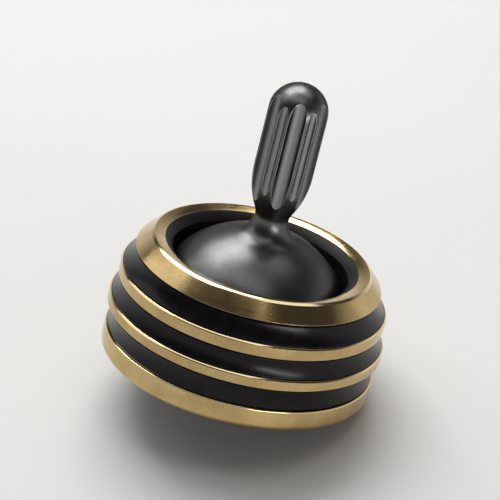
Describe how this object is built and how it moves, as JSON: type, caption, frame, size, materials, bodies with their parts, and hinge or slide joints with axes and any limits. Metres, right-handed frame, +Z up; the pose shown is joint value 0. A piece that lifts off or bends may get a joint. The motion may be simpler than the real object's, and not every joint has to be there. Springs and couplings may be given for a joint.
{
  "type": "hand-spun gyroscopic top",
  "caption": "Hand-spun metal top at rest: banded brass and black rotor on a hidden ball bearing, with a fluted finger handle and a ball tip.",
  "frame": {"origin": "the point of the table that the ball tip rests on, with the top leaning at rest", "axes": "+Z up from the table; the top leans towards +X, its spin axis in the XZ plane"},
  "size_m": [0.0396, 0.0388, 0.0468],
  "materials": {
    "handle_steel": "satin gunmetal, finely turned, with burnished edges",
    "spindle_steel": "fine ground",
    "bearing_steel": "polished",
    "cage_brass": "machined",
    "tip_ceramic": "polished",
    "screw_steel": "black oxide, satin",
    "cup_black": "black, satin, finely turned",
    "ring_brass": "satin, finely turned, with polished chamfers",
    "groove_black": "deep black, glossy"
  },
  "bodies": {
    "hub": {"handle": "handle_steel", "spindle": "spindle_steel", "bearing_spacer": "spindle_steel", "bearing_inner_race": "bearing_steel", "tip_holder": "handle_steel", "tip_ball": "tip_ceramic"},
    "cage": {"bearing_balls": "bearing_steel", "bearing_cage": "cage_brass"},
    "rotor": {"bearing_outer_race": "bearing_steel", "bearing_shield_top": "bearing_steel", "bearing_shield_bottom": "bearing_steel", "retainer_plate": "spindle_steel", "retainer_screws": "screw_steel", "rotor_cup": "cup_black", "rim_ring": "ring_brass", "groove_ring_top": "groove_black", "band_ring_upper": "ring_brass", "groove_ring_middle": "groove_black", "band_ring_lower": "ring_brass", "groove_ring_bottom": "groove_black", "base_ring": "ring_brass", "clamp_screws": "screw_steel"}
  },
  "joints": [
    {"name": "rotor_spin", "type": "hinge", "parent": "hub", "child": "rotor", "pos_m": [0.0031, 0, 0.01232], "axis": [0.2754, 0, 0.9613], "continuous": true},
    {"name": "cage_orbit", "type": "hinge", "parent": "hub", "child": "cage", "pos_m": [0.0031, 0, 0.01232], "axis": [0.2754, 0, 0.9613], "continuous": true}
  ],
  "couplings": [
    {"joint": "cage_orbit", "follows": "rotor_spin", "ratio": 0.61111}
  ]
}
